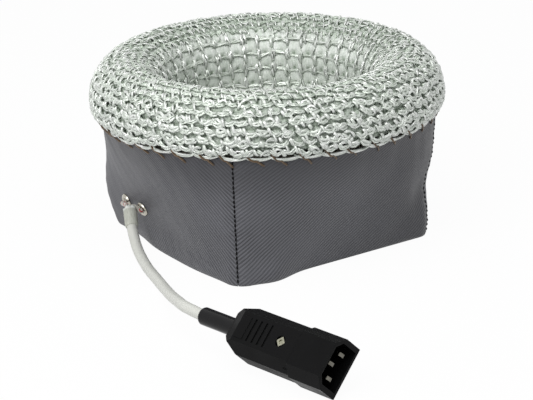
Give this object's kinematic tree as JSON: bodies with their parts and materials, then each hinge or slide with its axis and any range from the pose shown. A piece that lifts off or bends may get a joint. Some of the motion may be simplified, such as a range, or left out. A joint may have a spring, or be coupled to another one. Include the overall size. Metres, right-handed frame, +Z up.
{
  "type": "flask heating mantle",
  "caption": "Flexible laboratory heating mantle: a crocheted glass-yarn bowl with a rolled rim, sewn to a square-footed fabric jacket, with a short mains lead and an inline plug.",
  "frame": {"origin": "on the floor, at the middle of the square foot", "axes": "+Z up through the bowl's mouth; the panel with the cord faces -Y; the cable runs off towards +X to the plug"},
  "size_m": [0.3391, 0.2463, 0.1155],
  "materials": {
    "glass_yarn": "crocheted glass yarn with a silky sheen",
    "glass_rope": "loose glass rope",
    "heating_sleeve": "braided glass sleeve",
    "fibre_fill": "fluffy mineral fibre",
    "jacket_fabric": "silicone-coated twill, satin",
    "eyelet_nickel": "polished nickel",
    "lead_sleeve": "braided glass sleeve with a red tracer",
    "cuff_sleeve": "coated glass sleeve, cut raw at the top",
    "cable_jacket": "silicone rubber, satin",
    "boot_rubber": "glossy black rubber",
    "plug_plastic": "fine-grained black moulding",
    "nose_plastic": "fine-grained black moulding",
    "pin_metal": "bright-plated brass",
    "screw_steel": "zinc-plated steel"
  },
  "bodies": {
    "root": {"knitted_bowl": "glass_yarn", "rim_padding": "glass_rope", "heating_cord": "heating_sleeve", "fibre_fill": "fibre_fill", "base_panel": "jacket_fabric", "panel_front": "jacket_fabric", "panel_right": "jacket_fabric", "panel_back": "jacket_fabric", "panel_left": "jacket_fabric", "eyelet_left": "eyelet_nickel", "eyelet_right": "eyelet_nickel", "eyelet_washer_left": "eyelet_nickel", "eyelet_washer_right": "eyelet_nickel", "lead_left": "lead_sleeve", "lead_right": "lead_sleeve", "cuff": "cuff_sleeve", "cable": "cable_jacket", "plug_boot": "boot_rubber", "plug_base": "plug_plastic", "plug_cover": "plug_plastic", "plug_nose": "nose_plastic", "pin_line": "pin_metal", "pin_neutral": "pin_metal", "pin_earth": "pin_metal", "cover_screw": "screw_steel", "cover_nut": "screw_steel", "cord_clamp": "screw_steel", "clamp_screws": "screw_steel", "terminal_screws": "screw_steel"}
  },
  "joints": []
}
